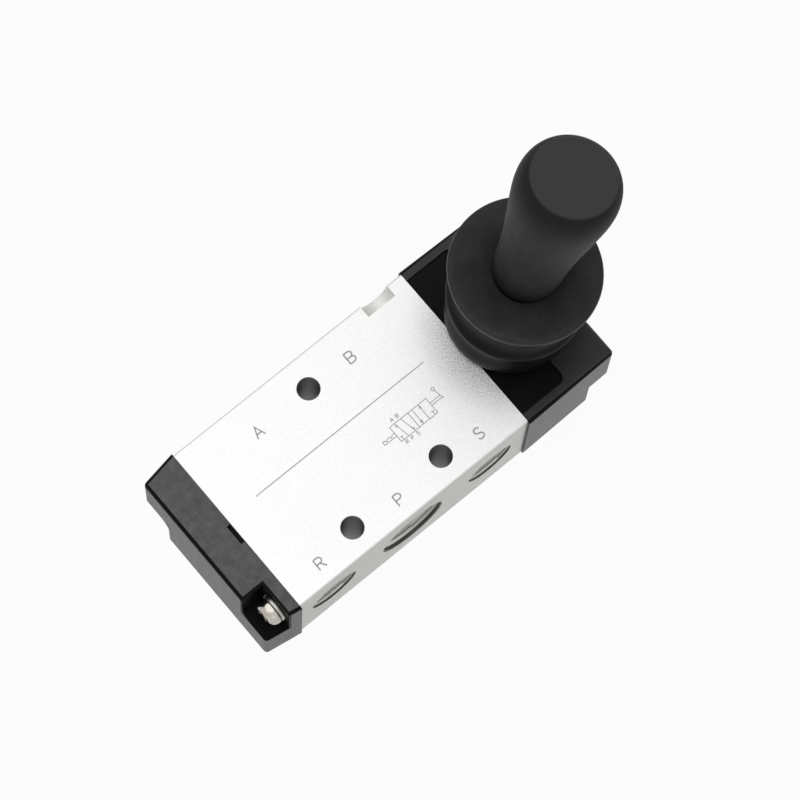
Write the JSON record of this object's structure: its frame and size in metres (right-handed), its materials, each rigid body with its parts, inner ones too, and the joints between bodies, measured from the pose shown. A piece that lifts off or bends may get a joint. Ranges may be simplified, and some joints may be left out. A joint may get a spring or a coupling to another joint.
{
  "type": "hand lever air valve",
  "caption": "Hand lever air valve: bar-shaped body with threaded ports, end cap, lever housing with rubber boot and tapered grip that shifts a spool between two detent positions.",
  "frame": {"origin": "on the valve's back face, under the crossing of the spool axis and the supply port axis", "axes": "+X along the spool from the end cap to the lever housing, +Y towards the two-port side, +Z out of the front face, the way the lever stands"},
  "size_m": [0.0879, 0.036, 0.0809],
  "materials": {
    "body_aluminium": "bead-blasted, clear anodised",
    "cap_plastic": "glass-filled nylon, fine speckle",
    "housing_plastic": "glass-filled nylon, fine speckle",
    "nitrile_gasket": "sheet nitrile",
    "nickel_screw": "nickel plated",
    "spring_steel": "zinc plated spring steel",
    "ground_steel": "ground and oiled",
    "bearing_steel": "polished",
    "spool_aluminium": "turned, hard anodised",
    "seal_rubber": "moulded nitrile",
    "ring_ptfe": "white low-friction polymer",
    "boot_rubber": "moulded rubber, dull",
    "grip_plastic": "moulded phenolic, dull",
    "insert_brass": "turned"
  },
  "bodies": {
    "valve_frame": {"valve_body": "body_aluminium", "end_cap": "cap_plastic", "cap_gasket": "nitrile_gasket", "cap_screws": "nickel_screw", "cap_spring_washers": "spring_steel", "cap_bumper": "seal_rubber", "lever_housing": "housing_plastic", "housing_gasket": "nitrile_gasket", "housing_screws": "nickel_screw", "housing_spring_washers": "spring_steel", "housing_bumper": "seal_rubber", "pivot_pin": "ground_steel", "boot": "boot_rubber"},
    "spool_group": {"spool": "spool_aluminium", "spool_seals": "seal_rubber", "wear_rings": "ring_ptfe", "shift_spindle": "ground_steel"},
    "lever_group": {"lever_rod": "ground_steel", "detent_ball_left": "bearing_steel", "detent_ball_right": "bearing_steel", "detent_spring": "spring_steel", "grip": "grip_plastic", "grip_insert": "insert_brass"}
  },
  "joints": [
    {"name": "lever_swing", "type": "hinge", "parent": "valve_frame", "child": "lever_group", "pos_m": [0.03527, 0, 0.025], "axis": [0, 1, 0], "range_deg": [-23.3, 0], "deforming": ["boot"]},
    {"name": "spool_slide", "type": "slide", "parent": "valve_frame", "child": "spool_group", "axis": [1, 0, 0], "range_m": [0, 0.0044]}
  ],
  "couplings": [
    {"joint": "spool_slide", "follows": "lever_swing", "m_per_rad": -0.010818}
  ]
}
